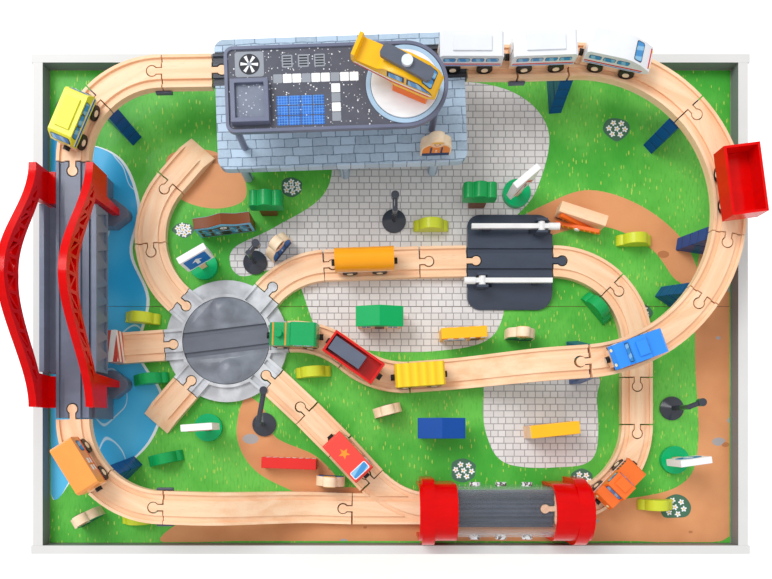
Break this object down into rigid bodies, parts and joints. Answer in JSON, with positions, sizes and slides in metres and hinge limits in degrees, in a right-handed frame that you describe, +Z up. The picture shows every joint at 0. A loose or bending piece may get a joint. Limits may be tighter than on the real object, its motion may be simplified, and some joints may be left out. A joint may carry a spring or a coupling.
{
  "type": "train table",
  "caption": "Rimmed play table with a wooden track on two levels, a bridge, a station, a turntable, a level crossing, a tunnel and rolling trains.",
  "frame": {"origin": "on the floor, under the middle of the table", "axes": "+X along the table's length, +Y to the back where the station is, +Z up"},
  "size_m": [0.92, 0.64, 0.6065],
  "materials": {
    "rail_paint": "pale grey paint",
    "board_print": "printed hardboard",
    "leg_paint": "pale grey paint",
    "glide_black": "moulded",
    "batten_wood": "raw",
    "bolt_steel": "zinc plated",
    "beech": "waxed beech",
    "clip_grey": "moulded",
    "support_blue": "moulded",
    "deck_grey": "moulded",
    "arch_red": "glossy moulded",
    "pier_grey": "moulded",
    "platform_stone": "moulded stone pattern",
    "roof_dark": "printed",
    "pad_white": "printed",
    "heli_yellow": "painted",
    "rotor_dark": "moulded",
    "ring_grey": "moulded",
    "disc_grey": "moulded",
    "crossing_dark": "moulded",
    "barrier_white": "moulded",
    "tunnel_dark": "ribbed",
    "tunnel_clear": "clear plastic",
    "tunnel_red": "glossy moulded",
    "foliage_green": "painted",
    "bush_paint": "painted",
    "sign_wood": "painted and printed",
    "lamp_dark": "moulded",
    "house_wood": "painted and printed",
    "figure_wood": "painted and printed",
    "tram_yellow": "painted",
    "parcel_orange": "painted",
    "loco_blue": "painted",
    "dumper_red": "moulded",
    "loco_orange": "painted",
    "fire_red": "painted",
    "covered_orange": "painted",
    "coach_white": "painted",
    "loco_green": "painted",
    "hopper_red": "painted",
    "tender_yellow": "painted",
    "wheel_black": "moulded wheels"
  },
  "bodies": {
    "table": {"long_rails": "rail_paint", "short_rails": "rail_paint", "play_boards": "board_print", "legs": "leg_paint", "leg_glides": "glide_black", "board_battens": "batten_wood", "frame_bolts": "bolt_steel", "ground_track": "beech", "raised_track": "beech", "track_clips": "clip_grey", "support_blocks": "support_blue", "bridge_deck": "deck_grey", "bridge_arches": "arch_red", "bridge_piers": "pier_grey", "station_platform": "platform_stone", "station_roof": "roof_dark", "landing_pad": "pad_white", "turntable_ring": "ring_grey", "crossing_base": "crossing_dark", "tunnel_base": "tunnel_dark", "tunnel_shell": "tunnel_clear", "tunnel_portals": "tunnel_red", "trees": "foliage_green", "bushes": "bush_paint", "signs": "sign_wood", "lamps": "lamp_dark", "houses": "house_wood", "figures": "figure_wood"},
    "turntable_disc": {"turntable_disc": "disc_grey"},
    "barrier_rear": {"barrier_rear": "barrier_white"},
    "barrier_front": {"barrier_front": "barrier_white"},
    "helicopter_body": {"helicopter_body": "heli_yellow"},
    "helicopter_rotor": {"helicopter_rotor": "rotor_dark"},
    "passenger_car_one": {"passenger_car_one": "coach_white"},
    "passenger_car_two": {"passenger_car_two": "coach_white"},
    "passenger_nose_car": {"passenger_nose_car": "coach_white"},
    "green_loco": {"green_loco": "loco_green"},
    "hopper_wagon": {"hopper_wagon": "hopper_red"},
    "tender_wagon": {"tender_wagon": "tender_yellow"},
    "tram_body": {"tram_body": "tram_yellow"},
    "tram_front_axle": {"tram_front_axle": "wheel_black"},
    "tram_rear_axle": {"tram_rear_axle": "wheel_black"},
    "parcel_wagon_body": {"parcel_wagon_body": "parcel_orange"},
    "parcel_wagon_front_axle": {"parcel_wagon_front_axle": "wheel_black"},
    "parcel_wagon_rear_axle": {"parcel_wagon_rear_axle": "wheel_black"},
    "blue_loco_body": {"blue_loco_body": "loco_blue"},
    "blue_loco_front_axle": {"blue_loco_front_axle": "wheel_black"},
    "blue_loco_rear_axle": {"blue_loco_rear_axle": "wheel_black"},
    "dumper_body": {"dumper_body": "dumper_red"},
    "dumper_front_axle": {"dumper_front_axle": "wheel_black"},
    "dumper_rear_axle": {"dumper_rear_axle": "wheel_black"},
    "orange_loco_body": {"orange_loco_body": "loco_orange"},
    "orange_loco_front_axle": {"orange_loco_front_axle": "wheel_black"},
    "orange_loco_rear_axle": {"orange_loco_rear_axle": "wheel_black"},
    "fire_wagon_body": {"fire_wagon_body": "fire_red"},
    "fire_wagon_front_axle": {"fire_wagon_front_axle": "wheel_black"},
    "fire_wagon_rear_axle": {"fire_wagon_rear_axle": "wheel_black"},
    "covered_wagon_body": {"covered_wagon_body": "covered_orange"},
    "covered_wagon_front_axle": {"covered_wagon_front_axle": "wheel_black"},
    "covered_wagon_rear_axle": {"covered_wagon_rear_axle": "wheel_black"}
  },
  "joints": [
    {"name": "turntable_spin", "type": "hinge", "parent": "table", "child": "turntable_disc", "pos_m": [-0.212, -0.046, 0.406], "axis": [0, 0, 1], "continuous": true},
    {"name": "barrier_rear_lift", "type": "hinge", "parent": "table", "child": "barrier_rear", "pos_m": [0.19217, 0.0981, 0.425], "axis": [0, 1, 0], "range_deg": [0, 80]},
    {"name": "barrier_front_lift", "type": "hinge", "parent": "table", "child": "barrier_front", "pos_m": [0.11677, 0.0291, 0.425], "axis": [0, -1, 0], "range_deg": [0, 80]},
    {"name": "helicopter_lift", "type": "slide", "parent": "table", "child": "helicopter_body", "axis": [0, 0, 1], "range_m": [0, 0.06]},
    {"name": "rotor_spin", "type": "hinge", "parent": "helicopter_body", "child": "helicopter_rotor", "pos_m": [0.01348, 0.222, 0.596], "axis": [0, 0, 1], "continuous": true},
    {"name": "tram_roll", "type": "hinge", "parent": "table", "child": "tram_body", "pos_m": [-0.27609, 0.16299, 0.478], "axis": [0, 0, 1], "range_deg": [-45, 9]},
    {"name": "tram_front_axle_spin", "type": "hinge", "parent": "tram_body", "child": "tram_front_axle", "pos_m": [-0.36653, 0.22202, 0.4849], "axis": [-0.9205, 0.3907, 0], "continuous": true},
    {"name": "tram_rear_axle_spin", "type": "hinge", "parent": "tram_body", "child": "tram_rear_axle", "pos_m": [-0.38138, 0.18704, 0.4849], "axis": [-0.9205, 0.3907, 0], "continuous": true},
    {"name": "parcel_wagon_roll", "type": "hinge", "parent": "table", "child": "parcel_wagon_body", "pos_m": [-0.27609, -0.14701, 0.478], "axis": [0, 0, 1], "range_deg": [-17, 45]},
    {"name": "parcel_wagon_front_axle_spin", "type": "hinge", "parent": "parcel_wagon_body", "child": "parcel_wagon_front_axle", "pos_m": [-0.37632, -0.18723, 0.4849], "axis": [-0.848, -0.5299, 0], "continuous": true},
    {"name": "parcel_wagon_rear_axle_spin", "type": "hinge", "parent": "parcel_wagon_body", "child": "parcel_wagon_rear_axle", "pos_m": [-0.35619, -0.21946, 0.4849], "axis": [-0.848, -0.5299, 0], "continuous": true},
    {"name": "blue_loco_roll", "type": "hinge", "parent": "table", "child": "blue_loco_body", "pos_m": [0.22637, 0.10334, 0.478], "axis": [0, 0, 1], "range_deg": [-7, 25]},
    {"name": "blue_loco_front_axle_spin", "type": "hinge", "parent": "blue_loco_body", "child": "blue_loco_front_axle", "pos_m": [0.27042, -0.07325, 0.4849], "axis": [0.342, -0.9397, 0], "continuous": true},
    {"name": "blue_loco_rear_axle_spin", "type": "hinge", "parent": "blue_loco_body", "child": "blue_loco_rear_axle", "pos_m": [0.30613, -0.06025, 0.4849], "axis": [0.342, -0.9397, 0], "continuous": true},
    {"name": "dumper_roll", "type": "hinge", "parent": "table", "child": "dumper_body", "pos_m": [0.22637, 0.10334, 0.478], "axis": [0, 0, 1], "range_deg": [-15, 22]},
    {"name": "dumper_front_axle_spin", "type": "hinge", "parent": "dumper_body", "child": "dumper_front_axle", "pos_m": [0.4083, 0.10813, 0.4849], "axis": [0.9914, 0.1305, 0], "continuous": true},
    {"name": "dumper_rear_axle_spin", "type": "hinge", "parent": "dumper_body", "child": "dumper_rear_axle", "pos_m": [0.40335, 0.1458, 0.4849], "axis": [0.9914, 0.1305, 0], "continuous": true},
    {"name": "orange_loco_roll", "type": "hinge", "parent": "table", "child": "orange_loco_body", "pos_m": [0.21077, -0.1549, 0.412], "axis": [0, 0, 1], "range_deg": [-25, 30]},
    {"name": "orange_loco_front_axle_spin", "type": "hinge", "parent": "orange_loco_body", "child": "orange_loco_front_axle", "pos_m": [0.27405, -0.24242, 0.4189], "axis": [0.7193, -0.6947, 0], "continuous": true},
    {"name": "orange_loco_rear_axle_spin", "type": "hinge", "parent": "orange_loco_body", "child": "orange_loco_rear_axle", "pos_m": [0.30044, -0.21508, 0.4189], "axis": [0.7193, -0.6947, 0], "continuous": true},
    {"name": "fire_wagon_roll", "type": "slide", "parent": "table", "child": "fire_wagon_body", "axis": [0.6797, -0.7335, 0], "range_m": [-0.02, 0.02]},
    {"name": "fire_wagon_front_axle_spin", "type": "hinge", "parent": "fire_wagon_body", "child": "fire_wagon_front_axle", "pos_m": [-0.04071, -0.20878, 0.4189], "axis": [0.7335, 0.6797, 0], "continuous": true},
    {"name": "fire_wagon_rear_axle_spin", "type": "hinge", "parent": "fire_wagon_body", "child": "fire_wagon_rear_axle", "pos_m": [-0.06654, -0.18091, 0.4189], "axis": [0.7335, 0.6797, 0], "continuous": true},
    {"name": "covered_wagon_roll", "type": "slide", "parent": "table", "child": "covered_wagon_body", "axis": [0.9994, 0.0349, 0], "range_m": [-0.028, 0.045]},
    {"name": "covered_wagon_front_axle_spin", "type": "hinge", "parent": "covered_wagon_body", "child": "covered_wagon_front_axle", "pos_m": [-0.01419, 0.05419, 0.4189], "axis": [-0.0349, 0.9994, 0], "continuous": true},
    {"name": "covered_wagon_rear_axle_spin", "type": "hinge", "parent": "covered_wagon_body", "child": "covered_wagon_rear_axle", "pos_m": [-0.05217, 0.05286, 0.4189], "axis": [-0.0349, 0.9994, 0], "continuous": true},
    {"name": "passenger_train_roll", "type": "hinge", "parent": "table", "child": "passenger_nose_car", "pos_m": [0.22637, 0.10334, 0.478], "axis": [0, 0, 1], "range_deg": [-6, 3]},
    {"name": "passenger_car_one_roll", "type": "slide", "parent": "table", "child": "passenger_car_one", "axis": [1, 0, 0], "range_m": [-0.012, 0.021]},
    {"name": "passenger_car_two_roll", "type": "slide", "parent": "table", "child": "passenger_car_two", "axis": [0.9994, 0.0349, 0], "range_m": [-0.012, 0.021]},
    {"name": "green_loco_lift", "type": "slide", "parent": "table", "child": "green_loco", "axis": [0, 0, 1], "range_m": [0, 0.03]},
    {"name": "hopper_wagon_lift", "type": "slide", "parent": "table", "child": "hopper_wagon", "axis": [0, 0, 1], "range_m": [0, 0.03]},
    {"name": "tender_wagon_lift", "type": "slide", "parent": "table", "child": "tender_wagon", "axis": [0, 0, 1], "range_m": [0, 0.03]}
  ],
  "couplings": [
    {"joint": "tram_front_axle_spin", "follows": "tram_roll", "ratio": -11.368},
    {"joint": "tram_rear_axle_spin", "follows": "tram_roll", "ratio": -11.368},
    {"joint": "parcel_wagon_front_axle_spin", "follows": "parcel_wagon_roll", "ratio": -11.368},
    {"joint": "parcel_wagon_rear_axle_spin", "follows": "parcel_wagon_roll", "ratio": -11.368},
    {"joint": "blue_loco_front_axle_spin", "follows": "blue_loco_roll", "ratio": -19.158},
    {"joint": "blue_loco_rear_axle_spin", "follows": "blue_loco_roll", "ratio": -19.158},
    {"joint": "dumper_front_axle_spin", "follows": "dumper_roll", "ratio": -19.158},
    {"joint": "dumper_rear_axle_spin", "follows": "dumper_roll", "ratio": -19.158},
    {"joint": "orange_loco_front_axle_spin", "follows": "orange_loco_roll", "ratio": -11.368},
    {"joint": "orange_loco_rear_axle_spin", "follows": "orange_loco_roll", "ratio": -11.368},
    {"joint": "fire_wagon_front_axle_spin", "follows": "fire_wagon_roll", "rad_per_m": 105.26},
    {"joint": "fire_wagon_rear_axle_spin", "follows": "fire_wagon_roll", "rad_per_m": 105.26},
    {"joint": "covered_wagon_front_axle_spin", "follows": "covered_wagon_roll", "rad_per_m": 105.26},
    {"joint": "covered_wagon_rear_axle_spin", "follows": "covered_wagon_roll", "rad_per_m": 105.26},
    {"joint": "passenger_car_one_roll", "follows": "passenger_train_roll", "m_per_rad": -0.182},
    {"joint": "passenger_car_two_roll", "follows": "passenger_train_roll", "m_per_rad": -0.182}
  ]
}
